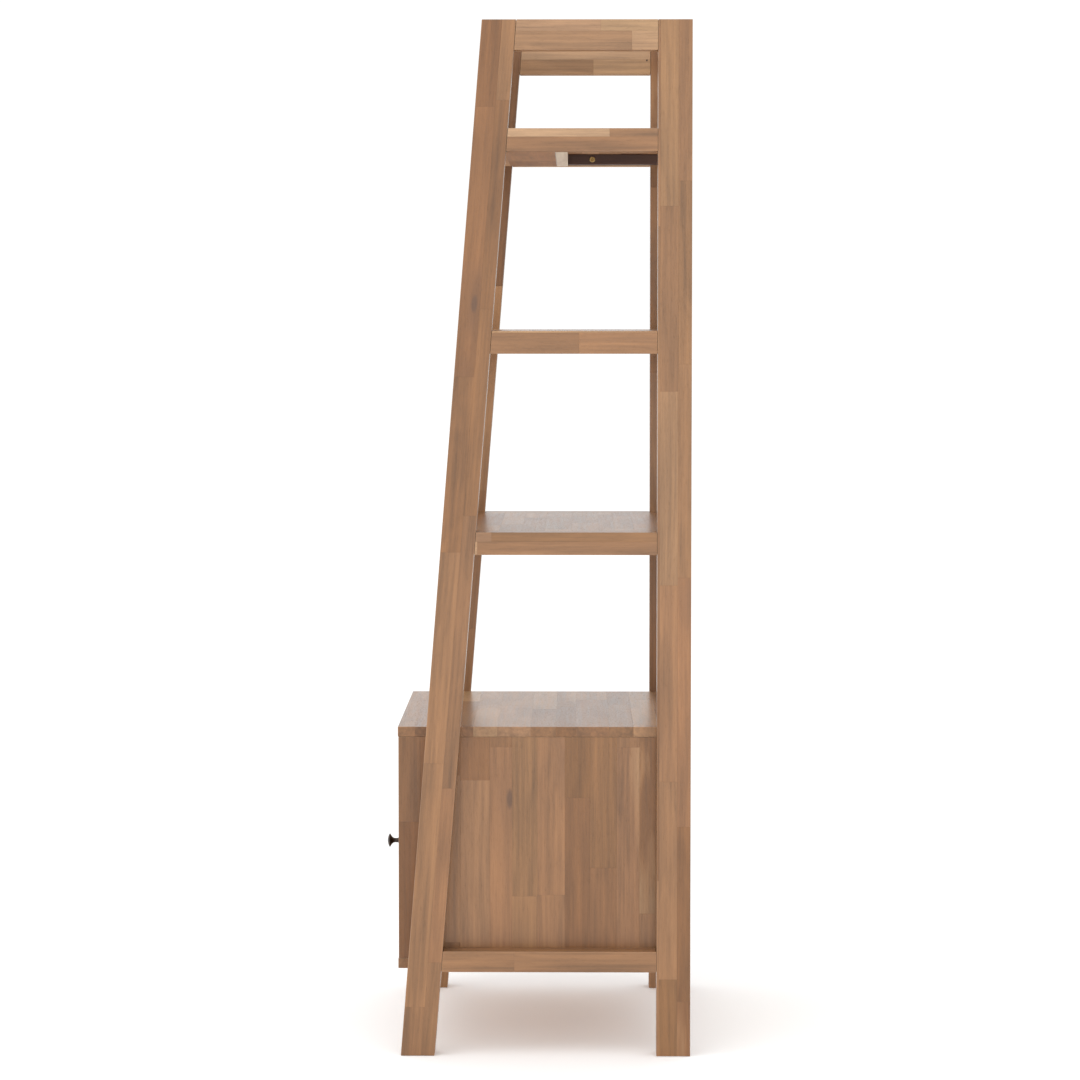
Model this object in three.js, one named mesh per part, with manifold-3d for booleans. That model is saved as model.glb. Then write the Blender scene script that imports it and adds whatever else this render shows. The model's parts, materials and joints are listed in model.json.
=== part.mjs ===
// A ladder shelf: two side frames with a leaning front leg, three shelves between them, and a
// cabinet box at the bottom, closed by one inset door that is hinged on its left edge.
//
// Millimetres, +Z up. The front faces -Y and the width runs along X, with +X on the right of a
// person who faces the front. The origin is on the floor, under the middle of the overall box.
import * as THREE from "three";
import { mergeVertices } from "three/addons/utils/BufferGeometryUtils.js";
import Module from "manifold-3d";

// ---------------------------------------------------------------- driving dimensions

const overallWidth = 610;
const overallHeight = 1829;
const cabinetDepth = 520; // rear plane to the front edges of the cabinet's top and bottom boards
const boardProud = 1; // those edges stand this far in front of the side panels and the door
const knobLength = 24;

const frameThickness = 38; // of every leg and side rail, along X
const legWidth = 60; // of every leg, along Y
const footReach = 514; // rear plane to the front edge of the front leg, at the floor
const topReach = 368; // the same, at the top
const topRailHeight = 53;
const railHeight = 40;
const baseRailHeight = 37;

const lowestShelfTop = 932;
const shelfSpacing = 354;
const shelfNames = ["lower", "middle", "upper"];
const shelfSetback = 2; // from the faces of the legs, front and rear
const boardThickness = 18;
const frontBoardDepth = 141;
const battenWidth = 21;
const apronThickness = 18;
const cleatWidth = 20;
const cleatLift = 2; // the cleats stop this far above the underside of the side rails
const boltFromRear = 172;

const cabinetBottom = 149;
const cabinetTop = 583;
const baseRailBottom = 150;
const backThickness = 6;
const backInset = 12;

const doorReveal = 2; // gap round the inset door, except on its hinged edge
const hingeReveal = 3; // gap on that edge, which holds the two leaves of each hinge
const knobFromMiddle = 185;
const hingeLength = 50;
const hingeInset = 62; // from an end of the door to the middle of its hinge
const knuckleRadius = 3;
const pinRadius = 1.15;
const pinHole = 1.35;
const leafThickness = 0.9;
const leafSpace = 0.6; // between the two leaves of a closed hinge
const catchFromMiddle = 205;

const gap = 0.3; // between pieces that touch
const ease = 1.2; // chamfer on the edges of every board
const smallEase = 0.6; // chamfer on the thin boards
const fineEase = 0.2; // chamfer on the plate and the magnet of the catch

// ---------------------------------------------------------------- places worked out from them

const rearY = (cabinetDepth - boardProud + knobLength) / 2;
const outerX = overallWidth / 2;
const innerX = outerX - frameThickness;
const cabinetFrontY = rearY - cabinetDepth;
const doorFaceY = cabinetFrontY + boardProud;
const cabinetInnerX = innerX - boardThickness;
const openingBottom = cabinetBottom + boardThickness;
const openingTop = cabinetTop - boardThickness;
const doorBackY = doorFaceY + boardThickness;
const knobHeight = (openingBottom + openingTop) / 2;

// The front face of the front leg at a height, and the face of the same leg that looks rearwards.
function legFrontY(z) {
  return rearY - THREE.MathUtils.lerp(footReach, topReach, z / overallHeight);
}
function legInnerY(z) {
  return legFrontY(z) + legWidth;
}

// ---------------------------------------------------------------- materials

function finish(color, roughness, metalness) {
  return () => new THREE.MeshStandardMaterial({ color, roughness, metalness });
}
const acacia = finish(0xa87f60, 0.42, 0);
const paleWood = finish(0xd6c4b2, 0.6, 0);
const darkWood = finish(0x4a342b, 0.6, 0);
const bronze = finish(0x33291f, 0.4, 0.8);
const brass = finish(0xb9975a, 0.35, 1);
const steel = finish(0xb4b6b8, 0.35, 1);
const brownPlastic = finish(0x4f382a, 0.5, 0);

// ---------------------------------------------------------------- shapes

const group = new THREE.Group();

function add(name, geometry, material) {
  const mesh = new THREE.Mesh(geometry, material());
  mesh.name = name;
  group.add(mesh);
  return mesh;
}

function toVectors(points) {
  return points.map(([u, v]) => new THREE.Vector2(u, v));
}

// A closed outline with each corner cut off, as a plane takes the arris off a board.
function easedShape(points, cut) {
  const corners = toVectors(points);
  const outline = corners.flatMap((corner, i) => {
    const before = corners.at(i - 1);
    const after = corners[(i + 1) % corners.length];
    return [before, after].map((end) =>
      corner.clone().add(end.clone().sub(corner).setLength(cut)),
    );
  });
  return new THREE.Shape(outline);
}

// Carries an outline drawn in (y, z), and its depth, onto the world axes.
const alongX = [
  new THREE.Vector3(0, 1, 0),
  new THREE.Vector3(0, 0, 1),
  new THREE.Vector3(1, 0, 0),
];

// A solid with the same outline all along X, and eased edges when cut is over 0.
function slab(points, [low, high], cut = ease) {
  const shape = cut > 0 ? easedShape(points, cut) : new THREE.Shape(toVectors(points));
  const geometry = new THREE.ExtrudeGeometry(shape, {
    depth: high - low - 2 * cut,
    bevelEnabled: cut > 0,
    bevelThickness: cut,
    bevelSize: cut,
    bevelOffset: -cut,
    bevelSegments: 1,
  });
  geometry.translate(0, 0, low + cut);
  return geometry.applyMatrix4(new THREE.Matrix4().makeBasis(...alongX));
}

// A rectangular board between its lowest and highest corners, eased on every edge.
function board([x0, x1], [y0, y1], [z0, z1], cut = ease) {
  const outline = [
    [y0, z0],
    [y1, z0],
    [y1, z1],
    [y0, z1],
  ];
  return slab(outline, [Math.min(x0, x1), Math.max(x0, x1)], cut);
}

const library = await Module();
library.setup();

function toSolid(geometry) {
  const bare = geometry.clone();
  bare.deleteAttribute("normal");
  bare.deleteAttribute("uv");
  const merged = mergeVertices(bare, 1e-3);
  const mesh = new library.Mesh({
    numProp: 3,
    vertProperties: merged.attributes.position.array,
    triVerts: new Uint32Array(merged.index.array),
  });
  return new library.Manifold(mesh);
}

// The geometry joined with each extra one, and with each cutter taken out of the whole.
function cutOut(geometry, cutters, extras = []) {
  const whole = extras.reduce((body, extra) => body.add(toSolid(extra)), toSolid(geometry));
  const result = cutters.reduce((body, cutter) => body.subtract(toSolid(cutter)), whole).getMesh();
  const cut = new THREE.BufferGeometry();
  cut.setAttribute("position", new THREE.BufferAttribute(result.vertProperties, 3));
  cut.setIndex(new THREE.BufferAttribute(result.triVerts, 1));
  cut.computeVertexNormals();
  return cut;
}

// A round bar along one axis between two places, for holes and knuckles.
function bar(axis, radius, low, high, [x, y, z]) {
  const geometry = new THREE.CylinderGeometry(radius, radius, high - low, 20);
  const middle = (low + high) / 2;
  if (axis === "x") return geometry.rotateZ(Math.PI / 2).translate(middle, y, z);
  if (axis === "z") return geometry.rotateX(Math.PI / 2).translate(x, y, middle);
  return geometry.translate(x, middle, z);
}

// ---------------------------------------------------------------- side frames

const sides = [
  { name: "right", x: 1 },
  { name: "left", x: -1 },
];

// Lowest and highest X of something on one side, from its distances to the middle plane.
function span(side, near, far) {
  return side.x > 0 ? [near, far] : [-far, -near];
}

function shelfTop(i) {
  return lowestShelfTop + i * shelfSpacing;
}

const boltHole = 3.3;
const boltDepth = 18; // into the side rail

function boltPlace(i) {
  const lowest = shelfTop(i) - railHeight + cleatLift;
  const highest = shelfTop(i) - boardThickness - gap;
  return { y: rearY - boltFromRear, z: (lowest + highest) / 2 };
}

// A side rail between the two legs, its front end cut to the lean of the front leg.
function sideRail(side, bottom, height) {
  const rear = rearY - legWidth - gap;
  const outline = [
    [legInnerY(bottom) + gap, bottom],
    [rear, bottom],
    [rear, bottom + height],
    [legInnerY(bottom + height) + gap, bottom + height],
  ];
  return slab(outline, span(side, innerX, outerX));
}

function addSideFrame(side) {
  const frontLeg = [
    [legFrontY(0), 0],
    [legInnerY(0), 0],
    [legInnerY(overallHeight), overallHeight],
    [legFrontY(overallHeight), overallHeight],
  ];
  const across = span(side, innerX, outerX);
  add(`${side.name}_front_leg`, slab(frontLeg, across), acacia);
  add(`${side.name}_rear_leg`, board(across, [rearY - legWidth, rearY], [0, overallHeight]), acacia);
  const topRail = sideRail(side, overallHeight - topRailHeight, topRailHeight);
  add(`${side.name}_top_rail`, topRail, acacia);
  add(`${side.name}_base_rail`, sideRail(side, baseRailBottom, baseRailHeight), acacia);
  shelfNames.forEach((shelf, i) => {
    const place = boltPlace(i);
    const [low, high] = span(side, innerX - 1, innerX + boltDepth + 1);
    const rail = sideRail(side, shelfTop(i) - railHeight, railHeight);
    const hole = bar("x", boltHole, low, high, [0, place.y, place.z]);
    add(`${side.name}_${shelf}_shelf_rail`, cutOut(rail, [hole]), acacia);
  });
}

sides.forEach(addSideFrame);

// ---------------------------------------------------------------- top cross rails

const between = [-innerX + gap, innerX - gap];
const topRailSpan = [overallHeight - topRailHeight, overallHeight];
const topFrontY = legFrontY(overallHeight) + shelfSetback;
const rearFaceY = rearY - shelfSetback;
add("top_front_cross_rail", board(between, [topFrontY, topFrontY + boardThickness], topRailSpan), acacia);
add("top_rear_cross_rail", board(between, [rearFaceY - boardThickness, rearFaceY], topRailSpan), acacia);

// ---------------------------------------------------------------- shelves

const boltHeadRadius = 5.5;
const boltHeadThickness = 2.5;
const boltShankRadius = 3;
const boltSocketRadius = 2.7;
const boltSocketDepth = 1.8;

// A furniture bolt with a low head and a hexagonal socket, head at the origin's +Y side.
function boltGeometry() {
  const dome = 0.7;
  const profile = [
    [0, -(cleatWidth + boltDepth)],
    [boltShankRadius, -(cleatWidth + boltDepth)],
    [boltShankRadius, 0],
    [boltHeadRadius, 0],
    [boltHeadRadius, boltHeadThickness - dome],
    [boltHeadRadius - dome, boltHeadThickness],
    [0, boltHeadThickness],
  ];
  const turned = new THREE.LatheGeometry(toVectors(profile), 24);
  const socket = new THREE.CylinderGeometry(boltSocketRadius, boltSocketRadius, 2 * boltSocketDepth, 6);
  socket.translate(0, boltHeadThickness, 0);
  return cutOut(turned, [socket]);
}

function addCleat(side, shelf, i, front, rear) {
  const place = boltPlace(i);
  const inner = innerX - gap - cleatWidth;
  const low = shelfTop(i) - railHeight + cleatLift;
  const high = shelfTop(i) - boardThickness - gap;
  const body = board(span(side, inner, innerX - gap), [front, rear], [low, high]);
  const [holeLow, holeHigh] = span(side, inner - 1, innerX + 1);
  const hole = bar("x", boltHole, holeLow, holeHigh, [0, place.y, place.z]);
  add(`${shelf}_shelf_${side.name}_cleat`, cutOut(body, [hole]), darkWood);

  const bolt = add(`${shelf}_shelf_${side.name}_bolt`, boltGeometry(), brass);
  bolt.rotation.z = (side.x * Math.PI) / 2;
  bolt.position.set(side.x * (inner - gap), place.y, place.z);
}

function addShelf(shelf, i) {
  const top = shelfTop(i);
  const underBoard = top - boardThickness;
  const lower = [top - railHeight, underBoard - gap];
  const front = legFrontY(top) + shelfSetback;
  const frontBoardEnd = front + frontBoardDepth;
  const battenEnd = frontBoardEnd + gap + battenWidth;
  const apronFront = rearFaceY - apronThickness;
  add(`${shelf}_shelf_panel`, board(between, [front, rearFaceY], [underBoard, top]), acacia);
  add(`${shelf}_shelf_front_board`, board(between, [front, frontBoardEnd], lower), acacia);
  add(`${shelf}_shelf_batten`, board(between, [frontBoardEnd + gap, battenEnd], lower), paleWood);
  add(`${shelf}_shelf_rear_apron`, board(between, [apronFront, rearFaceY], lower), acacia);
  sides.forEach((side) => addCleat(side, shelf, i, battenEnd + gap, apronFront - gap));
}

shelfNames.forEach(addShelf);

// ---------------------------------------------------------------- cabinet box

function addCabinet() {
  const depth = [cabinetFrontY, rearY];
  const upright = [openingBottom + gap, openingTop - gap];
  add("cabinet_top", board(between, depth, [openingTop, cabinetTop]), acacia);
  add("cabinet_bottom", board(between, depth, [cabinetBottom, openingBottom]), acacia);
  sides.forEach((side) => {
    const across = span(side, cabinetInnerX, innerX - gap);
    add(`cabinet_${side.name}_side`, board(across, [doorFaceY, rearY], upright), acacia);
  });
  const backWidth = [-cabinetInnerX + gap, cabinetInnerX - gap];
  const backDepth = [rearY - backInset - backThickness, rearY - backInset];
  add("cabinet_back", board(backWidth, backDepth, upright, smallEase), paleWood);
}

addCabinet();

// ---------------------------------------------------------------- door

const doorBottom = openingBottom + doorReveal;
const doorTop = openingTop - doorReveal;
const screwRadius = 1.9;
const screwHole = 2.3;

function addDoor() {
  const across = [-cabinetInnerX + hingeReveal, cabinetInnerX - doorReveal];
  const panel = board(across, [doorFaceY, doorBackY], [doorBottom, doorTop]);
  const hole = bar("y", screwHole, doorFaceY - 1, doorBackY + 1, [knobFromMiddle, 0, knobHeight]);
  add("door", cutOut(panel, [hole]), acacia);
}

// A turned knob that narrows to a neck and flares to a slightly domed disc. It is bored from
// behind for its screw, and its axis is the lathe's +Y.
function knobGeometry() {
  const baseRadius = 7;
  const neckRadius = 4;
  const neckAt = 9.5;
  const rimRadius = 12;
  const rimAt = knobLength - 5.2;
  const rimThickness = 1.6;
  const boreDepth = 9;
  const toNeck = new THREE.CubicBezierCurve(
    new THREE.Vector2(baseRadius, 1.6),
    new THREE.Vector2(neckRadius + 0.6, 3),
    new THREE.Vector2(neckRadius, 7),
    new THREE.Vector2(neckRadius, neckAt),
  );
  const toRim = new THREE.CubicBezierCurve(
    new THREE.Vector2(neckRadius, neckAt),
    new THREE.Vector2(neckRadius, neckAt + 5),
    new THREE.Vector2(rimRadius - 5, rimAt - 2.5),
    new THREE.Vector2(rimRadius, rimAt),
  );
  const dome = new THREE.QuadraticBezierCurve(
    new THREE.Vector2(rimRadius, rimAt + rimThickness),
    new THREE.Vector2(rimRadius * 0.55, knobLength),
    new THREE.Vector2(0, knobLength),
  );
  const profile = [
    new THREE.Vector2(0, boreDepth),
    new THREE.Vector2(screwHole, boreDepth),
    new THREE.Vector2(screwHole, gap),
    new THREE.Vector2(baseRadius, gap),
    ...toNeck.getPoints(5),
    ...toRim.getPoints(7).slice(1),
    ...dome.getPoints(4),
  ];
  return new THREE.LatheGeometry(profile, 32);
}

// A pan-head screw, with the underside of its head at the origin and its shank along -Y.
function screwGeometry() {
  const headRadius = 4;
  const headThickness = 2.4;
  const intoKnob = 7;
  const length = boardThickness + intoKnob;
  const profile = [
    [0, -length],
    [screwRadius, -length],
    [screwRadius, 0],
    [headRadius, 0],
    [headRadius, headThickness * 0.6],
    [headRadius * 0.7, headThickness],
    [0, headThickness],
  ];
  return new THREE.LatheGeometry(toVectors(profile), 20);
}

function addKnob() {
  const knob = add("door_knob", knobGeometry(), bronze);
  knob.rotation.x = Math.PI;
  knob.position.set(knobFromMiddle, doorFaceY, knobHeight);
  const screw = add("door_knob_screw", screwGeometry(), steel);
  screw.position.set(knobFromMiddle, doorBackY + gap, knobHeight);
}

addDoor();
addKnob();

// ---------------------------------------------------------------- hinges

const hingeX = -cabinetInnerX + hingeReveal / 2;
const hingeY = doorFaceY - knuckleRadius - gap;
const knuckleCount = 5;

// One leaf of a butt hinge: a plate in the gap beside the door, and every second knuckle round the
// pin. side is -1 for the leaf on the cabinet and 1 for the leaf on the door.
function leafGeometry(side, middle) {
  const low = middle - hingeLength / 2;
  const pitch = hingeLength / knuckleCount;
  const near = hingeX + (side * leafSpace) / 2;
  const across = [near, near + side * leafThickness];
  const clearOfKnuckles = hingeY + knuckleRadius + gap;
  const plate = board(across, [clearOfKnuckles, doorBackY - ease], [low, low + hingeLength], 0);
  const parts = [];
  for (let i = side < 0 ? 0 : 1; i < knuckleCount; i += 2) {
    const upright = [low + i * pitch + gap / 2, low + (i + 1) * pitch - gap / 2];
    parts.push(bar("z", knuckleRadius, ...upright, [hingeX, hingeY, 0]));
    parts.push(board(across, [hingeY + knuckleRadius / 2, clearOfKnuckles + 1], upright, 0));
  }
  const bore = bar("z", pinHole, low - 1, low + hingeLength + 1, [hingeX, hingeY, 0]);
  return cutOut(plate, [bore], parts);
}

// A hinge pin along the lathe's +Y, with a small button at each end that holds it in.
function pinGeometry() {
  const reach = hingeLength / 2 + gap;
  const buttonRadius = 2.3;
  const buttonLength = 2.3;
  const upper = [
    [pinRadius, reach],
    [buttonRadius * 0.83, reach],
    [buttonRadius, reach + buttonLength * 0.35],
    [buttonRadius * 0.74, reach + buttonLength * 0.83],
    [0, reach + buttonLength],
  ];
  const lower = upper.map(([radius, height]) => [radius, -height]).reverse();
  return new THREE.LatheGeometry(toVectors([...lower, ...upper]), 20);
}

function addHinge(name, middle) {
  add(`${name}_hinge_cabinet_leaf`, leafGeometry(-1, middle), bronze);
  add(`${name}_hinge_door_leaf`, leafGeometry(1, middle), bronze);
  const pin = add(`${name}_hinge_pin`, pinGeometry(), bronze);
  pin.rotation.x = Math.PI / 2;
  pin.position.set(hingeX, hingeY, middle);
}

addHinge("lower", doorBottom + hingeInset);
addHinge("upper", doorTop - hingeInset);

// ---------------------------------------------------------------- magnetic catch

const magnet = { width: 30, depth: 9, height: 6 };
const housing = { width: 44, depth: 14, height: 13 };
const strike = { width: 34, thickness: 1.2, height: 10, drop: 1 };

function addCatch() {
  const middle = openingTop - gap - housing.height / 2;
  const strikeRear = doorBackY + gap + strike.thickness;
  const magnetFront = strikeRear + gap;
  const housingFront = magnetFront + gap;
  const across = (width) => [catchFromMiddle - width / 2, catchFromMiddle + width / 2];
  const upright = (height) => [middle - height / 2, middle + height / 2];
  const strikeHeight = upright(strike.height).map((z) => z - strike.drop);
  const plate = board(across(strike.width), [doorBackY + gap, strikeRear], strikeHeight, fineEase);
  add("catch_strike_plate", plate, steel);
  const magnetDepth = [magnetFront, magnetFront + magnet.depth];
  const block = board(across(magnet.width), magnetDepth, upright(magnet.height), fineEase);
  add("catch_magnet", block, steel);
  const body = board(
    across(housing.width),
    [housingFront, housingFront + housing.depth],
    upright(housing.height),
    smallEase,
  );
  const pocket = board(
    across(magnet.width + 2 * gap),
    [housingFront - 1, magnetFront + magnet.depth + gap],
    upright(magnet.height + 2 * gap),
    0,
  );
  add("catch_housing", cutOut(body, [pocket]), brownPlastic);
}

addCatch();

export default group;
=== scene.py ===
import json
import math
import random

import bmesh
import bpy
from bpy.props import FloatProperty, FloatVectorProperty, PointerProperty
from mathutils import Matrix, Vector


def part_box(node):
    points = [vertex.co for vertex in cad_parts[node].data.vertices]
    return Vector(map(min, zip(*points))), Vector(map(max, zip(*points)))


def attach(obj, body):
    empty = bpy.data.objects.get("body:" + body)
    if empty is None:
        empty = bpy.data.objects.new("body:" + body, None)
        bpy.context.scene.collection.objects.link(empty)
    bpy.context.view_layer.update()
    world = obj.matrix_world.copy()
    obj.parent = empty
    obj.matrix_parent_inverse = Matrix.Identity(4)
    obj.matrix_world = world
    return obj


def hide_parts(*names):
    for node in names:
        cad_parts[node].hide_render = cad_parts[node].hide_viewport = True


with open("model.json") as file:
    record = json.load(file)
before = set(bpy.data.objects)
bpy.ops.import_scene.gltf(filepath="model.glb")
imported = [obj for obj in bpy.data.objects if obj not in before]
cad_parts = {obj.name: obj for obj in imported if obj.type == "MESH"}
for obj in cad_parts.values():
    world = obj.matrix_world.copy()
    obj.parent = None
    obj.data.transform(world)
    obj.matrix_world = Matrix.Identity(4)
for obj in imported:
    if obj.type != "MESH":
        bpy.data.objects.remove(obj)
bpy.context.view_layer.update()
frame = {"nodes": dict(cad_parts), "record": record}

bl_info = {
    "name": "Ladder Shelf",
    "version": (1, 0, 0),
    "blender": (4, 5, 0),
    "location": "3D View > Sidebar > Shelf",
    "description": "Dresses the frame of a ladder shelf with timber, boards, fittings and a stage",
    "category": "Object",
}

# ------------------------------------------------------------------ what the frame says

SIDES = {"right": 1, "left": -1}
SHELVES = ("lower", "middle", "upper")
BODY_OF = {
    node: body
    for body, nodes in frame["record"]["behaviour"]["bodies"].items()
    for node in nodes
}


def size(node):
    """The lengths of a node's box along X, Y and Z."""
    low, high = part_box(node)
    return high - low


LEG_WIDTH = size("right_rear_leg").y
LEG_HEIGHT = size("right_rear_leg").z
LEAN = (size("right_front_leg").y - LEG_WIDTH) / LEG_HEIGHT
KNOB_RADIUS = size("door_knob").x / 2
BOLT_RADIUS = size("upper_shelf_right_bolt").z / 2
SCREW_RADIUS = size("door_knob_screw").x / 2
FINE_EDGE = 0.0002  # broken edge of a metal fitting


# ------------------------------------------------------------------ settings


class WoodSettings(bpy.types.PropertyGroup):
    """The staves, colours and edges of the wooden parts."""

    stave_width: FloatProperty(
        name="Stave width",
        description="Average width of the strips that the boards are glued up from",
        default=0.044,
        unit="LENGTH",
    )
    stave_length: FloatProperty(
        name="Stave length",
        description="Average length of a strip between its butt joints",
        default=0.37,
        unit="LENGTH",
    )
    edge_radius: FloatProperty(
        name="Edge radius",
        description="Radius that the edges of the thick boards are eased to",
        default=0.0011,
        unit="LENGTH",
    )
    dark: FloatVectorProperty(
        name="Dark stave",
        description="Colour of the darkest staves",
        default=(0.168, 0.066, 0.016),
        subtype="COLOR",
    )
    middle: FloatVectorProperty(
        name="Middle stave",
        description="Colour of most staves",
        default=(0.262, 0.127, 0.052),
        subtype="COLOR",
    )
    light: FloatVectorProperty(
        name="Light stave",
        description="Colour of the palest staves",
        default=(0.462, 0.280, 0.152),
        subtype="COLOR",
    )
    sapwood: FloatVectorProperty(
        name="Sapwood",
        description="Colour of the pale streaks beside the heartwood",
        default=(0.480, 0.300, 0.155),
        subtype="COLOR",
    )
    knot: FloatVectorProperty(
        name="Knot",
        description="Colour of the knots and of the dark figure round them",
        default=(0.115, 0.058, 0.032),
        subtype="COLOR",
    )
    lacquer: FloatProperty(
        name="Lacquer roughness",
        description="Roughness of the satin lacquer",
        default=0.32,
        min=0.0,
        max=1.0,
        subtype="FACTOR",
    )


class FittingSettings(bpy.types.PropertyGroup):
    """Colours of the knob, hinges, bolts and catch."""

    bronze: FloatVectorProperty(
        name="Bronze",
        description="Colour of the dark knob and the hinges",
        default=(0.030, 0.020, 0.015),
        subtype="COLOR",
    )
    yellow_zinc: FloatVectorProperty(
        name="Yellow zinc",
        description="Colour of the cleat bolts",
        default=(0.560, 0.400, 0.170),
        subtype="COLOR",
    )
    bright_zinc: FloatVectorProperty(
        name="Bright zinc",
        description="Colour of the screw and of the catch's plates",
        default=(0.560, 0.570, 0.580),
        subtype="COLOR",
    )


class StageSettings(bpy.types.PropertyGroup):
    """Where the camera stands, and the light."""

    distance: FloatProperty(
        name="Camera distance",
        description="From the right side frame to the camera",
        default=5.58,
        unit="LENGTH",
    )
    height: FloatProperty(
        name="Camera height",
        description="Above the floor",
        default=1.317,
        unit="LENGTH",
    )
    forward: FloatProperty(
        name="Camera place",
        description="In front of the rear faces of the legs",
        default=0.205,
        unit="LENGTH",
    )
    turn: FloatProperty(
        name="Camera turn",
        description="Towards the front of the shelf",
        default=math.radians(0.631),
        subtype="ANGLE",
    )
    tilt: FloatProperty(
        name="Camera tilt",
        description="Down from level",
        default=math.radians(3.207),
        subtype="ANGLE",
    )
    lens: FloatProperty(
        name="Lens",
        description="Focal length in millimetres on a 36 mm sensor",
        default=105.96,
    )
    surroundings: FloatProperty(
        name="Surroundings",
        description="Brightness of the white studio round the shelf",
        default=1.06,
        min=0.0,
    )
    softbox: FloatProperty(
        name="Softbox",
        description="Power of the large soft light above and in front, in watts",
        default=24.0,
        min=0.0,
    )


# ------------------------------------------------------------------ shader expressions


class Link:
    """One output of a node. Arithmetic on it adds Math nodes."""

    def __init__(self, graph, output):
        self.graph = graph
        self.output = output

    def math(self, operation, *values):
        """A Math node's result."""
        return self.graph.node("ShaderNodeMath", {"operation": operation}, values)

    def other(self, name):
        """Another output of the same node."""
        return Link(self.graph, self.output.node.outputs[name])

    def __add__(self, value):
        return self.math("ADD", self, value)

    __radd__ = __add__

    def __sub__(self, value):
        return self.math("SUBTRACT", self, value)

    def __rsub__(self, value):
        return self.math("SUBTRACT", value, self)

    def __mul__(self, value):
        return self.math("MULTIPLY", self, value)

    __rmul__ = __mul__

    def __truediv__(self, value):
        return self.math("DIVIDE", self, value)

    def __gt__(self, value):
        return self.math("GREATER_THAN", self, value)

    def biggest(self, value):
        return self.math("MAXIMUM", self, value)

    def wave(self):
        """The sine of the value, from 0 to 1."""
        return self.math("SINE", self) * 0.5 + 0.5

    def rise(self, low, high):
        """0 below low, 1 above high, and smooth in between."""
        settings = {"interpolation_type": "SMOOTHSTEP"}
        values = {"Value": self, "From Min": low, "From Max": high}
        return self.graph.node("ShaderNodeMapRange", settings, values)


class Graph:
    """The node tree of one material, with its Principled shader."""

    def __init__(self, name):
        self.material = bpy.data.materials.new(name)
        self.material.use_nodes = True
        self.tree = self.material.node_tree
        self.shader = self.tree.nodes["Principled BSDF"]

    def node(self, kind, settings, inputs, output=0):
        """Adds a node, sets it up, fills its sockets and gives one of its outputs."""
        made = self.tree.nodes.new(kind)
        for key, value in settings.items():
            if key == "stops":
                self.set_stops(made.color_ramp, value)
            else:
                setattr(made, key, value)
        pairs = inputs.items() if isinstance(inputs, dict) else enumerate(inputs)
        for key, value in pairs:
            self.fill(made.inputs[key], value)
        return Link(self, made.outputs[output])

    def fill(self, socket, value):
        """Links a value to a socket, or sets a constant on it."""
        if isinstance(value, Link):
            self.tree.links.new(value.output, socket)
        elif socket.type == "RGBA":
            socket.default_value = (*value, 1.0)
        else:
            socket.default_value = value

    @staticmethod
    def set_stops(ramp, stops):
        while len(ramp.elements) < len(stops):
            ramp.elements.new(1.0)
        for element, (position, colour) in zip(ramp.elements, stops):
            element.position = position
            element.color = (*colour, 1.0)

    def attribute(self, name, output="Vector"):
        return self.node("ShaderNodeAttribute", {"attribute_name": name}, {}, output)

    def split(self, vector):
        parts = self.node("ShaderNodeSeparateXYZ", {}, [vector])
        return parts, parts.other("Y"), parts.other("Z")

    def stretch(self, vector, scale):
        return self.node("ShaderNodeVectorMath", {"operation": "MULTIPLY"}, [vector, scale])

    def shift(self, vector, offset):
        return self.node("ShaderNodeVectorMath", {"operation": "ADD"}, [vector, offset])

    def noise(self, vector, scale=1.0, detail=2.0, distortion=0.0):
        values = {"Vector": vector, "Scale": scale, "Detail": detail, "Distortion": distortion}
        return self.node("ShaderNodeTexNoise", {}, values)

    def strips(self, value, randomness, feature="F1", output="Color"):
        """Random cells along a line, or the distance to their nearest edge."""
        settings = {"voronoi_dimensions": "1D", "feature": feature}
        values = {"W": value, "Scale": 1.0, "Randomness": randomness}
        return self.node("ShaderNodeTexVoronoi", settings, values, output)

    def ramp(self, value, stops):
        return self.node("ShaderNodeValToRGB", {"stops": stops}, [value])

    def mix(self, factor, first, second, blend="MIX"):
        settings = {"data_type": "RGBA", "blend_type": blend}
        return self.node("ShaderNodeMix", settings, {0: factor, 6: first, 7: second}, 2)

    def brighten(self, colour, factor):
        """The colour times a value."""
        return self.node("ShaderNodeVectorMath", {"operation": "SCALE"}, {0: colour, "Scale": factor})

    def bump(self, height, distance):
        values = {"Height": height, "Distance": distance, "Strength": 1.0}
        return self.node("ShaderNodeBump", {}, values)

    def finish(self, **sockets):
        """Feeds the shader's sockets: base_color is its Base Color, and so on."""
        for key, value in sockets.items():
            self.fill(self.shader.inputs[key.replace("_", " ").title()], value)
        return self.material


# ------------------------------------------------------------------ materials


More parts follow.
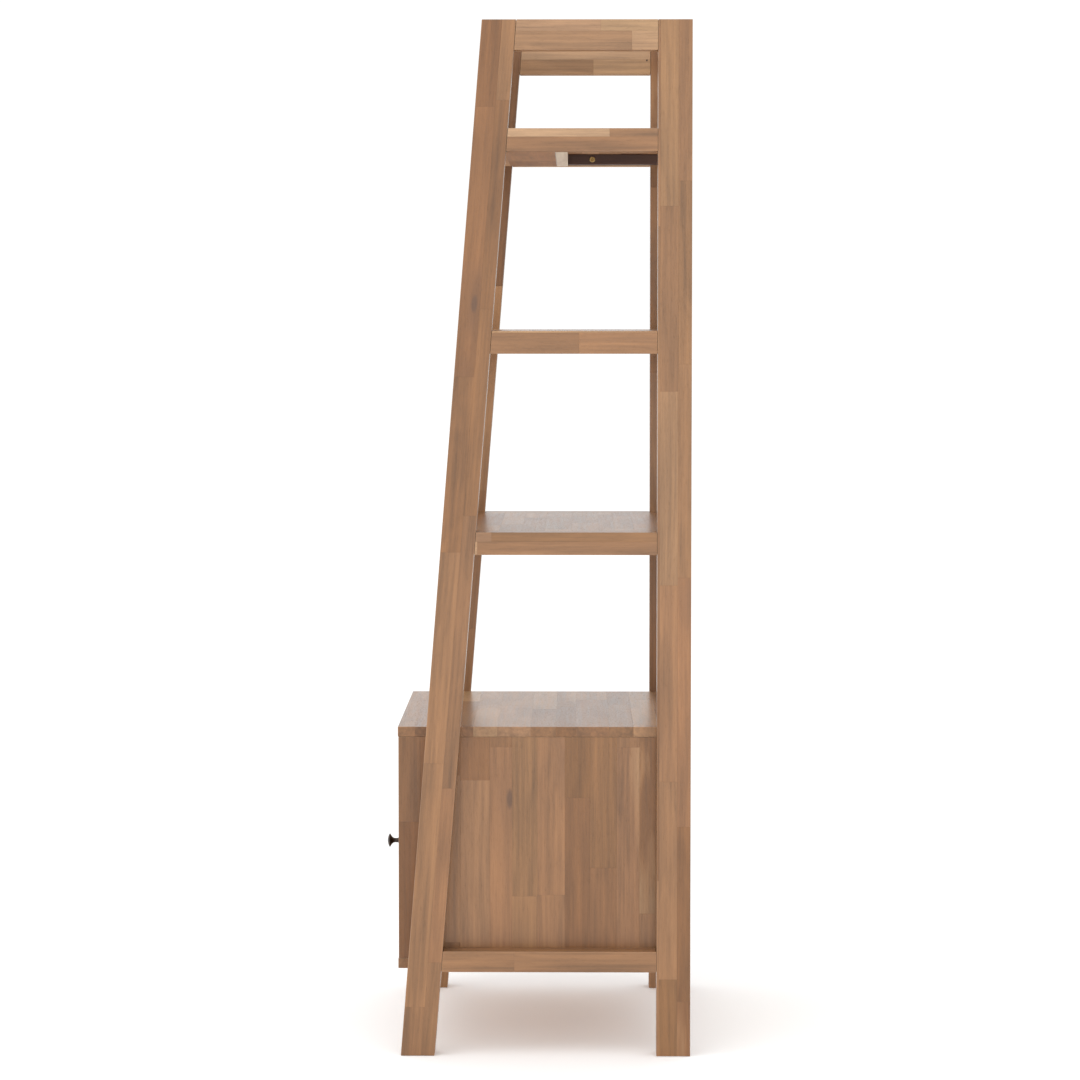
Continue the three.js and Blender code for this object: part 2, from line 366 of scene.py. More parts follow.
def acacia(wood):
    """Acacia staves, glued up side by side and end to end, under a satin lacquer."""
    g = Graph("acacia")
    grain = g.attribute("grain")
    along, across, _ = g.split(grain)
    tone = g.attribute("tone", "Fac")
    wear = g.attribute("wear", "Fac")
    end = g.attribute("end", "Fac")
    raw = g.attribute("raw", "Fac")

    # Which stave a point is in: strips across the board, each cut into lengths of its own.
    row = across / wood.stave_width
    row_pick, _, _ = g.split(g.strips(row, 0.9))
    run = along / wood.stave_length + row_pick * 37.0
    run_pick, _, _ = g.split(g.strips(run, 0.8))
    names = g.node("ShaderNodeCombineXYZ", {}, [row_pick * 91.0, run_pick * 57.0, 0.0])
    pick = g.node("ShaderNodeTexWhiteNoise", {}, [names])
    own = pick.other("Color")
    _, second_pick, third_pick = g.split(own)
    row_edge = g.strips(row, 0.9, "DISTANCE_TO_EDGE", "Distance") * wood.stave_width
    run_edge = g.strips(run, 0.8, "DISTANCE_TO_EDGE", "Distance") * wood.stave_length
    seam = (1.0 - row_edge.rise(0.0001, 0.0007)).biggest(1.0 - run_edge.rise(0.0001, 0.0007))

    # Every stave has its own grain: broad figure, fine streaks and short dark pores.
    place = g.shift(grain, g.stretch(own, (9.0, 7.0, 5.0)))
    broad = g.noise(g.stretch(place, (2.1, 13.0, 13.0)), 1.0, 3.0, 0.7)
    figure = (broad * 46.0).wave()
    streak = g.noise(g.stretch(place, (5.0, 150.0, 150.0)), 1.0, 5.0, 0.2)
    fine = g.noise(g.stretch(place, (16.0, 620.0, 620.0)), 1.0, 3.0)
    pore = g.noise(g.stretch(place, (70.0, 1700.0, 1700.0)), 1.0, 1.0).rise(0.60, 0.74)
    cloud = g.noise(g.stretch(place, (4.0, 20.0, 20.0)), 1.0, 2.0)

    # Staves differ in colour, some run a little to pink and some to olive.
    stops = [(0.0, wood.dark), (0.35, wood.middle), (0.62, wood.middle), (1.0, wood.light)]
    base = g.ramp(pick * 0.62 + tone * 0.38, [(p, tuple(c)) for p, c in stops])
    warm = g.mix(second_pick.rise(0.45, 0.95) * 0.5, base, (0.98, 0.90, 0.88), "MULTIPLY")
    hued = g.mix(third_pick.rise(0.5, 1.0) * 0.5, warm, (0.95, 0.97, 0.82), "MULTIPLY")

    sap = (pick.math("FRACT", pick * 7.31) > 0.80) * broad.rise(0.50, 0.72) * 0.38
    pale = g.mix(sap, hued, tuple(wood.sapwood))
    thin = (streak - 0.5) * 0.80 + (fine - 0.5) * 0.26
    wide = (figure - 0.5) * 0.10 + (cloud - 0.5) * 0.62 + (broad - 0.5) * 0.66
    shade = 1.0 + thin + wide
    # Faces that point down are painted lighter, a painted fill light from below; they also lose the
    # lacquer and turn rough.
    grained = g.brighten(pale, shade - pore * 0.16 - seam * 0.06 - end * 0.16 + raw * 0.22)

    knots = g.node(
        "ShaderNodeTexVoronoi", {}, {"Vector": g.stretch(place, (4.2, 13.0, 13.0)), "Scale": 1.0}
    )
    heart = (1.0 - knots.rise(0.04, 0.11)) * (second_pick > 0.70)
    halo = (1.0 - knots.rise(0.08, 0.38)) * (second_pick > 0.70) * streak.rise(0.35, 0.62) * 0.45
    knotted = g.mix(heart.biggest(halo) * 0.85, grained, tuple(wood.knot))
    # Points on the eased edges are painted paler: a painted highlight along the arrises.
    edge_highlighted = g.mix(wear * (0.05 + streak * 0.2), knotted, (0.66, 0.47, 0.33))

    height = streak * 0.35 + fine * 0.25 - pore * 0.5 - seam * 0.9
    g.shader.inputs["Coat Roughness"].default_value = 0.22
    g.shader.inputs["IOR"].default_value = 1.47
    return g.finish(
        base_color=edge_highlighted,
        roughness=wood.lacquer + (streak - 0.5) * 0.16 + pore * 0.12 + end * 0.16 + raw * 0.5,
        coat_weight=0.22 * (1.0 - raw),
        normal=g.bump(height, 0.00022),
    )


def plain_wood(name, dark, light, roughness):
    """Straight-grained wood of one colour, for the hidden parts."""
    g = Graph(name)
    grain = g.attribute("grain")
    tone = g.attribute("tone", "Fac")
    wear = g.attribute("wear", "Fac")
    end = g.attribute("end", "Fac")
    broad = g.noise(g.stretch(grain, (1.4, 16.0, 16.0)), 1.0, 3.0, 0.8)
    streak = g.noise(g.stretch(grain, (5.0, 190.0, 190.0)), 1.0, 5.0, 0.3)
    pore = g.noise(g.stretch(grain, (60.0, 1500.0, 1500.0)), 1.0, 1.0).rise(0.60, 0.75)
    rings = (broad * 70.0).wave()
    shade = streak * 0.55 + rings * 0.22 + tone * 0.25
    colour = g.ramp(shade, [(0.15, dark), (0.85, light)])
    # The eased edges are painted towards the light colour: a painted highlight.
    edge_lit = g.mix(wear * 0.25, g.brighten(colour, 1.0 - pore * 0.14 - end * 0.2), light)
    g.shader.inputs["IOR"].default_value = 1.45
    return g.finish(
        base_color=edge_lit,
        roughness=roughness + (streak - 0.5) * 0.2 + pore * 0.08,
        normal=g.bump(streak * 0.6 - pore * 0.5, 0.0002),
    )


def bronze(fittings):
    """Oil-rubbed bronze: near black, rubbed to brown on the rims."""
    g = Graph("oil_rubbed_bronze")
    place = g.node("ShaderNodeTexCoord", {}, {}, "Object")
    mottle = g.noise(place, 210.0, 4.0, 0.4)
    speck = g.noise(place, 1500.0, 2.0)
    rim = g.attribute("wear", "Fac") * mottle.rise(0.3, 0.7)
    dark = tuple(fittings.bronze)
    brown = tuple(3.2 * c for c in dark)
    colour = g.mix(mottle.rise(0.35, 0.75) * 0.55 + rim * 0.45, dark, brown)
    return g.finish(
        base_color=colour,
        metallic=0.62 + rim * 0.25,
        roughness=0.36 + (mottle - 0.5) * 0.22 - rim * 0.08,
        normal=g.bump(mottle * 0.5 + speck * 0.3, 0.00008),
    )


def plated_steel(name, colour, brushed):
    """Zinc-plated steel, brushed along Y when brushed is set, with a faint crystal mottle."""
    g = Graph(name)
    place = g.node("ShaderNodeTexCoord", {}, {}, "Object")
    stretch = (2600.0, 22.0, 2600.0) if brushed else (900.0, 900.0, 900.0)
    scratch = g.noise(g.stretch(place, stretch), 1.0, 3.0)
    mottle = g.noise(place, 260.0, 3.0, 0.5)
    shade = 0.86 + (scratch - 0.5) * 0.26 + (mottle - 0.5) * 0.30
    return g.finish(
        base_color=g.brighten(g.mix(mottle * 0.3, colour, tuple(0.8 * c for c in colour)), shade),
        metallic=1.0,
        roughness=0.30 + (scratch - 0.5) * 0.2 + (mottle - 0.5) * 0.14,
        normal=g.bump(scratch, 0.00004),
    )


def moulded_plastic(name, colour):
    """Moulded plastic with a fine matt texture."""
    g = Graph(name)
    place = g.node("ShaderNodeTexCoord", {}, {}, "Object")
    texture = g.noise(place, 1800.0, 2.0)
    cloud = g.noise(place, 90.0, 2.0)
    return g.finish(
        base_color=g.brighten(g.mix(cloud * 0.2, colour, (0.2, 0.15, 0.12)), 0.95 + texture * 0.1),
        roughness=0.5 + (texture - 0.5) * 0.1,
        normal=g.bump(texture, 0.00005),
    )


def filler():
    """Dark wood filler in a nail hole."""
    g = Graph("wood_filler")
    place = g.node("ShaderNodeTexCoord", {}, {}, "Object")
    speck = g.noise(place, 2400.0, 3.0)
    colour = g.mix(speck, (0.030, 0.017, 0.011), (0.085, 0.048, 0.030))
    return g.finish(base_color=colour, roughness=0.62 + speck * 0.2, normal=g.bump(speck, 0.0001))


def studio_white():
    """The pale paper that the shelf stands on."""
    g = Graph("studio_paper")
    place = g.node("ShaderNodeTexCoord", {}, {}, "Object")
    fibre = g.noise(place, 30.0, 3.0)
    colour = g.mix(fibre, (0.96, 0.96, 0.96), (0.98, 0.98, 0.98))
    g.shader.inputs["Emission Strength"].default_value = 0.12
    return g.finish(base_color=colour, roughness=0.9 + (fibre - 0.5) * 0.06)


MAKERS = {
    "acacia": lambda scene: acacia(scene.shelf_wood),
    "pale_wood": lambda scene: plain_wood("pale_wood", (0.50, 0.36, 0.24), (0.73, 0.61, 0.47), 0.62),
    "dark_wood": lambda scene: plain_wood("dark_wood", (0.044, 0.022, 0.016), (0.118, 0.060, 0.042), 0.5),
    "bronze": lambda scene: bronze(scene.shelf_fittings),
    "brass": lambda scene: plated_steel("yellow_zinc", tuple(scene.shelf_fittings.yellow_zinc), False),
    "steel": lambda scene: plated_steel("bright_zinc", tuple(scene.shelf_fittings.bright_zinc), True),
    "brown_plastic": lambda scene: moulded_plastic("brown_plastic", (0.078, 0.040, 0.024)),
    "filler": lambda scene: filler(),
    "studio_paper": lambda scene: studio_white(),
}
made_materials = {}


def material(scene, slot):
    """The finish of a slot, made the first time that it is asked for."""
    if slot not in made_materials:
        made_materials[slot] = MAKERS[slot](scene)
    return made_materials[slot]


SLOT_OF = {part["node"]: part["material_slot"] for part in frame["record"]["subparts"]}


# ------------------------------------------------------------------ making pieces


def new_piece(name, bm, smooth=True):
    """An object from a bmesh, shaded smooth, with flat faces kept flat by their weight."""
    bmesh.ops.recalc_face_normals(bm, faces=bm.faces)
    mesh = bpy.data.meshes.new(name)
    bm.to_mesh(mesh)
    bm.free()
    if smooth:
        mesh.shade_smooth()
    else:
        mesh.shade_flat()
    piece = bpy.data.objects.new(name, mesh)
    bpy.context.scene.collection.objects.link(piece)
    if smooth:
        weighted = piece.modifiers.new("flat_faces", "WEIGHTED_NORMAL")
        weighted.weight = 100
        weighted.keep_sharp = True
    return piece


def place_piece(scene, piece, node, slot=None, replaces=True):
    """Rides the piece on the node's body and gives it the finish of that node, or of slot."""
    slot = slot or SLOT_OF[node]
    piece.data.materials.append(material(scene, slot))
    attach(piece, BODY_OF[node])
    if replaces:
        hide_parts(node)
    return piece


def set_attribute(mesh, name, kind, domain, values):
    """Stores a number, or three, for every point or face of a mesh."""
    store = mesh.attributes.new(name, kind, domain)
    key = "vector" if kind == "FLOAT_VECTOR" else "value"
    store.data.foreach_set(key, values)


def board_bmesh(low, high, front_lean, rear_lean):
    """A board between two corners, whose front and rear faces may lean rearwards as they rise."""
    bm = bmesh.new()
    corners = {}
    for right in (0, 1):
        for rear in (0, 1):
            for top in (0, 1):
                x = high.x if right else low.x
                z = high.z if top else low.z
                front_y = low.y + front_lean * (z - low.z)
                rear_y = high.y - rear_lean * (high.z - z)
                corners[right, rear, top] = bm.verts.new((x, rear_y if rear else front_y, z))
    for axis in range(3):
        for end in (0, 1):
            ring = []
            for a, b in ((0, 0), (1, 0), (1, 1), (0, 1)):
                key = [a, b]
                key.insert(axis, end)
                ring.append(corners[tuple(key)])
            bm.faces.new(ring)
    # A bevel only closes a corner whose faces all point outwards.
    bmesh.ops.recalc_face_normals(bm, faces=bm.faces)
    return bm


def make_board(scene, node, grain_axis, edge=None, front_lean=0.0, rear_lean=0.0, tone=None):
    """A timber piece in place of a CAD board, with eased edges and its own grain.

    grain_axis is 0, 1 or 2 for grain along X, Y or Z. tone is 0 for dark wood, 1 for pale
    and more for the palest.
    """
    low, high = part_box(node)
    bm = board_bmesh(low, high, front_lean, rear_lean)
    radius = edge or scene.shelf_wood.edge_radius
    eased = bmesh.ops.bevel(
        bm,
        geom=list(bm.edges),
        offset=radius,
        segments=3,
        profile=0.5,
        affect="EDGES",
        clamp_overlap=True,
    )
    curved = set(eased["faces"])
    # Points on the eased edges. The wood finishes paint them paler, a painted highlight along the
    # arrises; on the knob the same attribute marks real rubbed bronze.
    wear = [
        1.0 if all(face in curved for face in vert.link_faces) else 0.0 for vert in bm.verts
    ]
    piece = new_piece(f"{node}_timber", bm)
    mesh = piece.data

    extent = high - low
    others = sorted((a for a in range(3) if a != grain_axis), key=lambda a: -extent[a])
    order = (grain_axis, *others)
    draw = random.Random(node)
    start = [draw.uniform(3.0, 40.0) for _ in range(3)]
    straightened = front_lean if rear_lean else 0.0
    grain = []
    for vert in mesh.vertices:
        point = vert.co.copy()
        point.y -= straightened * (point.z - low.z)
        grain.extend(point[axis] - low[axis] + start[i] for i, axis in enumerate(order))
    tone = draw.uniform(0.3, 0.7) if tone is None else tone
    set_attribute(mesh, "grain", "FLOAT_VECTOR", "POINT", grain)
    set_attribute(mesh, "tone", "FLOAT", "POINT", [tone] * len(mesh.vertices))
    set_attribute(mesh, "wear", "FLOAT", "POINT", wear)
    ends = [1.0 if abs(face.normal[grain_axis]) > 0.95 else 0.0 for face in mesh.polygons]
    set_attribute(mesh, "end", "FLOAT", "FACE", ends)
    # Faces that point down: no lacquer, rough, and painted lighter as a painted fill light.
    undersides = [1.0 if face.normal.z < -0.9 else 0.0 for face in mesh.polygons]
    set_attribute(mesh, "raw", "FLOAT", "FACE", undersides)
    return place_piece(scene, piece, node)


def ring_points(radius, count):
    """Points round a circle, or round the outline that radius(angle) gives."""
    angles = [2 * math.pi * i / count for i in range(count)]
    lengths = [radius(a) if callable(radius) else radius for a in angles]
    return [(r * math.cos(a), r * math.sin(a)) for a, r in zip(angles, lengths)]


def turned(bm, rings, place, count=48, hollow=False):
    """Adds a closed solid of rings, each (distance along the axis, radius), to a bmesh.

    place turns (across, up, distance) into a point. The first and last rings are capped, or
    joined to each other when the solid is a tube.
    """
    loops = []
    for distance, radius in rings:
        points = ring_points(radius, count)
        loops.append([bm.verts.new(place(u, v, distance)) for u, v in points])
    following = loops[1:] + loops[:1] if hollow else loops[1:]
    for first, second in zip(loops, following):
        for i in range(count):
            j = (i + 1) % count
            bm.faces.new((first[i], first[j], second[j], second[i]))
    if not hollow:
        bm.faces.new(loops[0])
        bm.faces.new(loops[-1])


def extrude_along_x(bm, outline, near, far):
    """A closed solid with the outline, given as (y, z), between two widths."""
    loops = [[bm.verts.new((x, y, z)) for y, z in outline] for x in (near, far)]
    for i in range(len(outline)):
        j = (i + 1) % len(outline)
        bm.faces.new((loops[0][i], loops[0][j], loops[1][j], loops[1][i]))
    for loop in loops:
        bm.faces.new(loop)


def hexagon(flat):
    """Radius of a hexagonal socket at an angle, from half its width across the flats."""
    return lambda angle: flat / math.cos((angle + math.pi / 6) % (math.pi / 3) - math.pi / 6)


def cross(arm, half):
    """Radius of a cross-shaped recess at an angle, from its reach and half its arms' width."""

    def radius(angle):
        part = abs((angle + math.pi / 4) % (math.pi / 2) - math.pi / 4)
        return min(arm / math.cos(part), half / max(math.sin(part), 1e-6))

    return radius


def rounding(low, high, radius, steps):
    """Distances and insets of a quarter-round from the side of a rim to its face."""
    for i in range(steps + 1):
        angle = math.pi / 2 * i / steps
        yield high - radius + radius * math.sin(angle), low - radius + radius * math.cos(angle)


# ------------------------------------------------------------------ operators


class MakeSideFrames(bpy.types.Operator):
    """Make the legs and rails of both side frames"""

    bl_idname = "shelf.side_frames"
    bl_label = "Side frames"

    def execute(self, context):
        scene = context.scene
        rails = ["top_rail", "base_rail", *(f"{shelf}_shelf_rail" for shelf in SHELVES)]
        for side in SIDES:
            make_board(scene, f"{side}_front_leg", 2, front_lean=LEAN, rear_lean=LEAN, tone=0.35)
            make_board(scene, f"{side}_rear_leg", 2, tone=0.25)
            for rail in rails:
                tone = 1.3 if rail in ("top_rail", "upper_shelf_rail") else None
                make_board(scene, f"{side}_{rail}", 1, front_lean=LEAN, tone=tone)
        return {"FINISHED"}


class MakeTopRails(bpy.types.Operator):
    """Make the cross rails of the top, and the filled nail hole of each side rail"""

    bl_idname = "shelf.top_rails"
    bl_label = "Top rails"

    def execute(self, context):
        scene = context.scene
        make_board(scene, "top_front_cross_rail", 0)
        make_board(scene, "top_rear_cross_rail", 0)
        for side, sign in SIDES.items():
            self.nail_hole(scene, side, sign)
        return {"FINISHED"}

    def nail_hole(self, scene, side, sign):
        """A filled nail hole near the rear end of the rail's inner face."""
        radius = 0.0017
        inset = 0.007
        proud = 0.00012
        node = f"{side}_top_rail"
        low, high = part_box(node)
        face = low.x if sign > 0 else high.x
        middle = (low.z + high.z) / 2
        y = high.y - inset
        bm = bmesh.new()
        rings = [(-0.001, radius), (0.0, radius), (proud, radius * 0.6)]
        turned(bm, rings, lambda u, v, s: (face - sign * s, y + u, middle + v), 20)
        piece = new_piece(f"{side}_top_rail_nail_filler", bm)
        place_piece(scene, piece, node, "filler", replaces=False)


class MakeShelves(bpy.types.Operator):
    """Make the boards of the three shelves"""

    bl_idname = "shelf.shelves"
    bl_label = "Shelves"

    def execute(self, context):
        for shelf in SHELVES:
            for part in ("panel", "front_board", "batten", "rear_apron"):
                make_board(context.scene, f"{shelf}_shelf_{part}", 0)
        return {"FINISHED"}


class MakeCleats(bpy.types.Operator):
    """Make the dark cleats that carry the shelves, and their bolts"""

    bl_idname = "shelf.cleats"
    bl_label = "Cleats and bolts"

    rear_share = 0.35  # the rear bolt's distance from its end of the cleat, over the front one's

    def execute(self, context):
        scene = context.scene
        for shelf in SHELVES:
            for side, sign in SIDES.items():
                make_board(scene, f"{shelf}_shelf_{side}_cleat", 1, edge=0.0008)
                self.bolts(scene, shelf, side, sign)
        return {"FINISHED"}

    def bolts(self, scene, shelf, side, sign):
        """The front bolt stands for its CAD node. The rear one is a piece of its own."""
        node = f"{shelf}_shelf_{side}_bolt"
        low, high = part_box(node)
        cleat_low, cleat_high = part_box(f"{shelf}_shelf_{side}_cleat")
        front_gap = low.y - cleat_low.y
        head = low.x if sign > 0 else high.x
        middle = (low.z + high.z) / 2
        front_y = (low.y + high.y) / 2
        rear_y = cleat_high.y - front_gap * self.rear_share
        for y, place in ((front_y, "front"), (rear_y, "rear")):
            bm = bmesh.new()
            self.bolt(bm, sign, head, high.x - low.x, y, middle)
            piece = new_piece(f"{shelf}_shelf_{side}_{place}_bolt", bm)
            place_piece(scene, piece, node, replaces=place == "front")

    def bolt(self, bm, sign, head, length, y, z):
        """A low round head with a hexagonal socket, and a plain shank behind it."""
        thickness = 0.0025
        shank = BOLT_RADIUS * 0.54
        socket = hexagon(BOLT_RADIUS * 0.45)
        socket_depth = 0.0018
        rings = [(length, shank), (thickness, shank)]
        rings.append((thickness, BOLT_RADIUS - FINE_EDGE))
        rings.append((thickness - FINE_EDGE, BOLT_RADIUS))
        for distance, radius in rounding(BOLT_RADIUS, thickness, 0.0012, 5):
            rings.append((thickness - distance, radius))
        rings.append((0.0, lambda angle: socket(angle) * 1.08))
        rings.append((FINE_EDGE, socket))
        rings.append((socket_depth, socket))
        rings.append((socket_depth + 0.0004, 0.0004))
        turned(bm, rings, lambda u, v, s: (head + sign * s, y + u, z + v))


class MakeCabinet(bpy.types.Operator):
    """Make the cabinet box"""

    bl_idname = "shelf.cabinet"
    bl_label = "Cabinet box"

    def execute(self, context):
        scene = context.scene
        make_board(scene, "cabinet_top", 0)
        make_board(scene, "cabinet_bottom", 0)
        make_board(scene, "cabinet_right_side", 2, tone=0.08)
        make_board(scene, "cabinet_left_side", 2, tone=0.08)
        make_board(scene, "cabinet_back", 2, edge=0.0006)
        return {"FINISHED"}


class MakeDoor(bpy.types.Operator):
    """Make the inset door"""

    bl_idname = "shelf.door"
    bl_label = "Door"

    def execute(self, context):
        make_board(context.scene, "door", 2, tone=0.4)
        return {"FINISHED"}


class MakeHinges(bpy.types.Operator):
    """Make the two butt hinges of the door"""

    bl_idname = "shelf.hinges"
    bl_label = "Hinges"

    knuckles = 5
    hole = 0.00135
    clearance = 0.0003
    thickness = 0.0009

    def execute(self, context):
        for hinge in ("lower", "upper"):
            self.leaf(context.scene, hinge, "cabinet_leaf", -1)
            self.leaf(context.scene, hinge, "door_leaf", 1)
            self.pin(context.scene, hinge)
        return {"FINISHED"}

    def axis(self, hinge):
        """The middle of the pin."""
        low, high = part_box(f"{hinge}_hinge_pin")
        return (low + high) / 2

    def leaf(self, scene, hinge, name, sign):
        """A plate with a tab for each of its knuckles, and the knuckles round the pin."""
        node = f"{hinge}_hinge_{name}"
        low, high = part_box(node)
        axis = self.axis(hinge)
        outer_radius = axis.y - low.y
        inner_x = axis.x + sign * self.clearance
        outer_x = inner_x + sign * self.thickness
        pitch = (high.z - low.z) / self.knuckles
        plate_y = axis.y + outer_radius + self.clearance
        tab_y = axis.y + outer_radius * 0.7
        bm = bmesh.new()
        outline = [(high.y, high.z), (high.y, low.z), (plate_y, low.z)]
        for i in range(0 if sign < 0 else 1, self.knuckles, 2):
            bottom = low.z + i * pitch + self.clearance / 2
            top = bottom + pitch - self.clearance
            outline += [(plate_y, bottom), (tab_y, bottom), (tab_y, top), (plate_y, top)]
            rings = [
                (bottom, outer_radius - FINE_EDGE),
                (bottom + FINE_EDGE, outer_radius),
                (top - FINE_EDGE, outer_radius),
                (top, outer_radius - FINE_EDGE),
                (top, self.hole),
                (bottom, self.hole),
            ]
            turned(bm, rings, lambda u, v, z: (axis.x + u, axis.y + v, z), 40, hollow=True)
        outline.append((plate_y, high.z))
        extrude_along_x(bm, outline, inner_x, outer_x)
        place_piece(scene, new_piece(f"{node}_stamping", bm), node)

    def pin(self, scene, hinge):
        """A pin with a small turned button at each end."""
        node = f"{hinge}_hinge_pin"
        low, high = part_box(node)
        axis = self.axis(hinge)
        widest = (high.x - low.x) / 2
        shank = widest / 2
        button = 0.0023
        tip = 0.0004
        steps = 8
        rings = []
        for i in range(steps + 1):
            t = i / steps
            radius = widest * math.sin(math.pi * (0.08 + 0.72 * t))
            rings.append((low.z + button * t, max(tip, radius)))
        rings.append((low.z + button, shank))
        rings += [(low.z + high.z - z, radius) for z, radius in reversed(rings)]
        bm = bmesh.new()
        turned(bm, rings, lambda u, v, z: (axis.x + u, axis.y + v, z), 40)
        place_piece(scene, new_piece(f"{node}_turning", bm), node)


class MakeCatch(bpy.types.Operator):
    """Finish the housing, magnet and strike plate of the magnetic catch"""

    bl_idname = "shelf.catch"
    bl_label = "Magnetic catch"

    def execute(self, context):
        for node in ("catch_housing", "catch_magnet", "catch_strike_plate"):
            slots = frame["nodes"][node].data.materials
            slots.clear()
            slots.append(material(context.scene, SLOT_OF[node]))
        return {"FINISHED"}


class MakeKnob(bpy.types.Operator):
    """Make the turned knob and the screw that holds it"""

    bl_idname = "shelf.knob"
    bl_label = "Knob and screw"

    neck = KNOB_RADIUS / 3
    neck_share = 0.4
    steps = 16

    def execute(self, context):
        self.knob(context.scene, "door_knob")
        self.screw(context.scene, "door_knob_screw")
        return {"FINISHED"}

    def knob(self, scene, node):
        """A trumpet knob: a small foot, a slim neck and a wide disc with a domed face."""
        low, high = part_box(node)
        x = (low.x + high.x) / 2
        z = (low.z + high.z) / 2
        length = high.y - low.y
        rings = self.foot_and_neck(length) + self.disc(length)
        bm = bmesh.new()
        turned(bm, rings, lambda u, v, s: (x + u, high.y - s, z + v), 64)
        piece = new_piece(f"{node}_turning", bm)
        wear = []
        for vert in piece.data.vertices:
            out = math.hypot(vert.co.x - x, vert.co.z - z) / KNOB_RADIUS
            wear.append(max(0.0, min(1.0, (out - 0.9) / 0.1)))
        set_attribute(piece.data, "wear", "FLOAT", "POINT", wear)
        place_piece(scene, piece, node)

    def foot_and_neck(self, length):
        """Rings from the knob's foot along its neck."""
        foot = KNOB_RADIUS * 0.58
        foot_edge = 0.0004
        foot_height = 0.0017
        rings = [
            (0.0, foot - foot_edge),
            (foot_edge, foot),
            (foot_height - foot_edge, foot),
            (foot_height, foot - foot_edge),
        ]
        flare = foot - 0.0014 - self.neck
        reach = length * self.neck_share - foot_height
        for i in range(1, self.steps + 1):
            t = i / self.steps
            rings.append((foot_height + reach * t, self.neck + flare * (1 - t) ** 3.2))
        return rings

    def disc(self, length):
        """Rings that flare from the neck to the rim and close in the domed face."""
        neck_at = length * self.neck_share
        rim = KNOB_RADIUS - FINE_EDGE
        rim_thickness = 0.0016
        dome = 0.0032
        rim_at = length - dome - rim_thickness
        rings = []
        for i in range(1, self.steps + 1):
            t = i / self.steps
            rings.append((neck_at + (rim_at - neck_at) * t, self.neck + (rim - self.neck) * t**2.6))
        rim_steps = 6
        for i in range(rim_steps + 1):
            t = i / rim_steps
            rings.append((rim_at + rim_thickness * t, rim + FINE_EDGE * math.sin(math.pi * t)))
        dome_from = rim_at + rim_thickness
        dome_steps = 12
        for i in range(1, dome_steps):
            t = i / dome_steps
            rings.append((dome_from + (length - dome_from) * (1 - (1 - t) ** 2), rim * (1 - t)))
        rings.append((length, 0.0005))
        return rings

    def screw(self, scene, node):
        """A pan-head machine screw with a cross recess, its head inside the cabinet."""
        low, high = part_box(node)
        x = (low.x + high.x) / 2
        z = (low.z + high.z) / 2
        head = 0.0024
        recess_depth = 0.0012
        shank = SCREW_RADIUS * 0.475
        recess = cross(SCREW_RADIUS * 0.55, SCREW_RADIUS * 0.14)
        rings = [(high.y - low.y, shank), (head, shank), (head, SCREW_RADIUS)]
        for distance, radius in rounding(SCREW_RADIUS, head, 0.0016, 6):
            rings.append((head - distance, radius))
        rings.append((0.0, lambda angle: recess(angle) * 1.05))
        rings.append((recess_depth, recess))
        rings.append((recess_depth + 0.0003, 0.0004))
        bm = bmesh.new()
        turned(bm, rings, lambda u, v, s: (x + u, high.y - s, z + v), 64)
        place_piece(scene, new_piece(f"{node}_turning", bm), node)


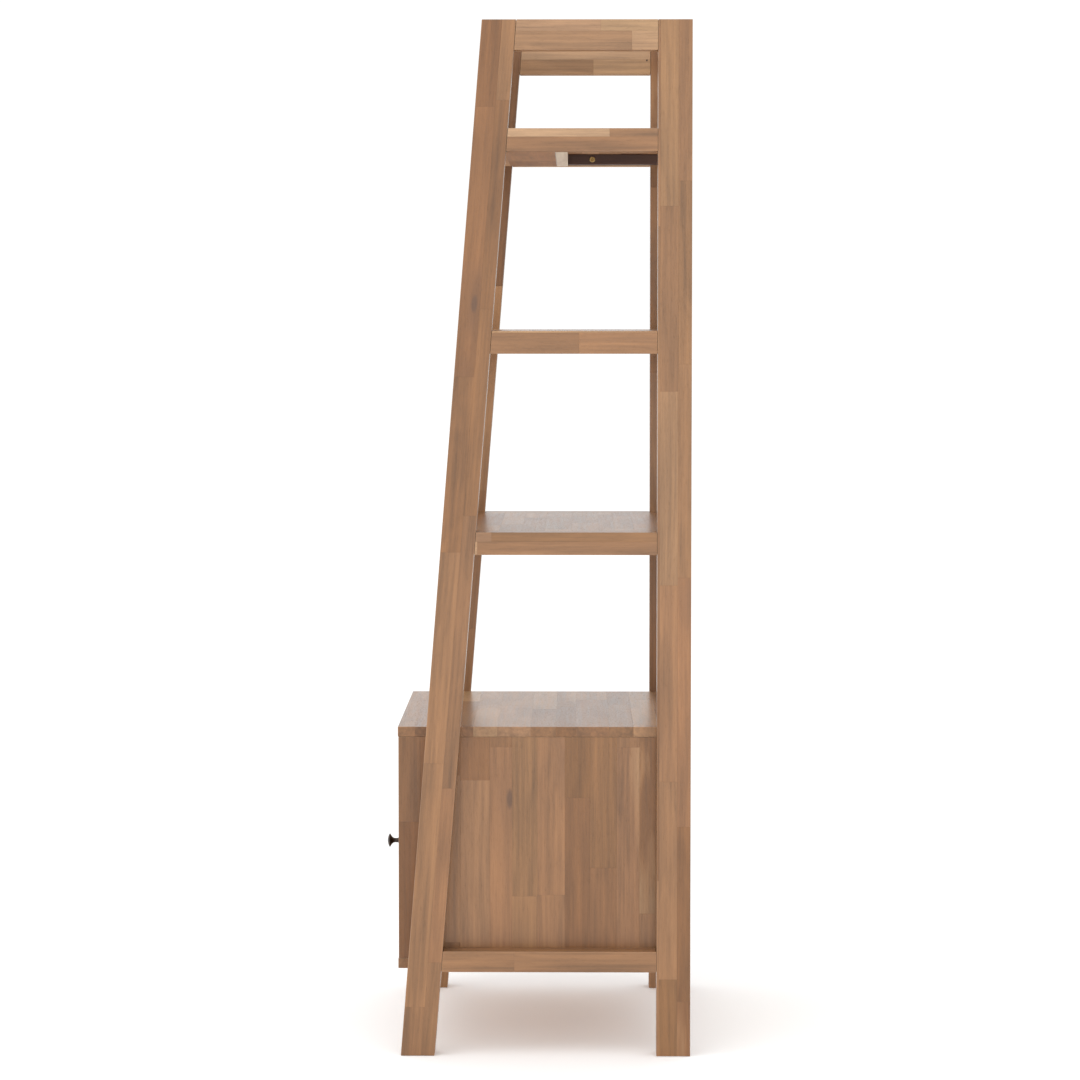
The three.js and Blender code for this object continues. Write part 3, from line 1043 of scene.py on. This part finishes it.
class MakeStage(bpy.types.Operator):
    """Make the floor, the light and the camera"""

    bl_idname = "shelf.stage"
    bl_label = "Stage"

    def execute(self, context):
        scene = context.scene
        scene.view_settings.view_transform = "Standard"
        self.floor(scene)
        self.surroundings(scene)
        self.softboxes(scene)
        self.camera(scene)
        return {"FINISHED"}

    def floor(self, scene):
        """A wide sheet of paper, a little below the feet."""
        reach = 30.0
        drop = 0.0005
        bm = bmesh.new()
        corners = [(-reach, -reach), (reach, -reach), (reach, reach), (-reach, reach)]
        bm.faces.new([bm.verts.new((x, y, -drop)) for x, y in corners])
        paper = new_piece("studio_floor", bm, smooth=False)
        paper.data.materials.append(material(scene, "studio_paper"))

    def surroundings(self, scene):
        """Even white light from all round."""
        world = bpy.data.worlds.new("studio")
        scene.world = world
        world.use_nodes = True
        sky = world.node_tree.nodes["Background"]
        sky.inputs["Color"].default_value = (1.0, 1.0, 1.0, 1.0)
        sky.inputs["Strength"].default_value = scene.shelf_stage.surroundings

    def softboxes(self, scene):
        """Three square lights, each given as its place, its width and its power in watts."""
        middle = Vector((0.0, 0.0, LEG_HEIGHT / 2))
        power = scene.shelf_stage.softbox
        boxes = {
            "softbox_above": ((1.6, -1.4, 3.6), 2.4, power),
            "softbox_side": ((3.6, 0.8, 1.2), 2.6, power * 0.6),
            "softbox_front": ((1.0, -3.6, 1.4), 2.2, power * 0.6),
        }
        for name, (place, width, watts) in boxes.items():
            light = bpy.data.lights.new(name, "AREA")
            light.shape = "SQUARE"
            light.size = width
            light.energy = watts
            lamp = bpy.data.objects.new(name, light)
            scene.collection.objects.link(lamp)
            lamp.location = place
            lamp.rotation_euler = (middle - Vector(place)).to_track_quat("-Z", "Y").to_euler()

    def camera(self, scene):
        """The camera, to the right of the shelf."""
        stage = scene.shelf_stage
        _, leg_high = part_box("right_rear_leg")
        data = bpy.data.cameras.new("camera")
        data.lens = stage.lens
        data.sensor_width = 36.0
        data.shift_y = -0.045
        camera = bpy.data.objects.new("camera", data)
        scene.collection.objects.link(camera)
        camera.location = (leg_high.x + stage.distance, leg_high.y - stage.forward, stage.height)
        level = math.cos(stage.tilt)
        aim = Vector(
            (-math.cos(stage.turn) * level, -math.sin(stage.turn) * level, -math.sin(stage.tilt))
        )
        camera.rotation_euler = aim.to_track_quat("-Z", "Y").to_euler()
        scene.camera = camera


OPERATORS = (
    MakeSideFrames,
    MakeTopRails,
    MakeShelves,
    MakeCleats,
    MakeCabinet,
    MakeDoor,
    MakeHinges,
    MakeCatch,
    MakeKnob,
    MakeStage,
)


class ShelfPanel(bpy.types.Panel):
    """The shelf's settings and the operators that make it"""

    bl_idname = "VIEW3D_PT_ladder_shelf"
    bl_label = "Ladder Shelf"
    bl_space_type = "VIEW_3D"
    bl_region_type = "UI"
    bl_category = "Shelf"

    def draw(self, context):
        for settings in (
            context.scene.shelf_wood,
            context.scene.shelf_fittings,
            context.scene.shelf_stage,
        ):
            box = self.layout.box()
            for name in settings.__annotations__:
                box.prop(settings, name)
        for operator in OPERATORS:
            self.layout.operator(operator.bl_idname)


CLASSES = (WoodSettings, FittingSettings, StageSettings, *OPERATORS, ShelfPanel)


def register():
    for made in CLASSES:
        bpy.utils.register_class(made)
    bpy.types.Scene.shelf_wood = PointerProperty(type=WoodSettings)
    bpy.types.Scene.shelf_fittings = PointerProperty(type=FittingSettings)
    bpy.types.Scene.shelf_stage = PointerProperty(type=StageSettings)


def unregister():
    del bpy.types.Scene.shelf_stage
    del bpy.types.Scene.shelf_fittings
    del bpy.types.Scene.shelf_wood
    for made in reversed(CLASSES):
        bpy.utils.unregister_class(made)


def main():
    register()
    for operator in OPERATORS:
        category, name = operator.bl_idname.split(".")
        getattr(getattr(bpy.ops, category), name)()


if __name__ == "__main__":
    main()
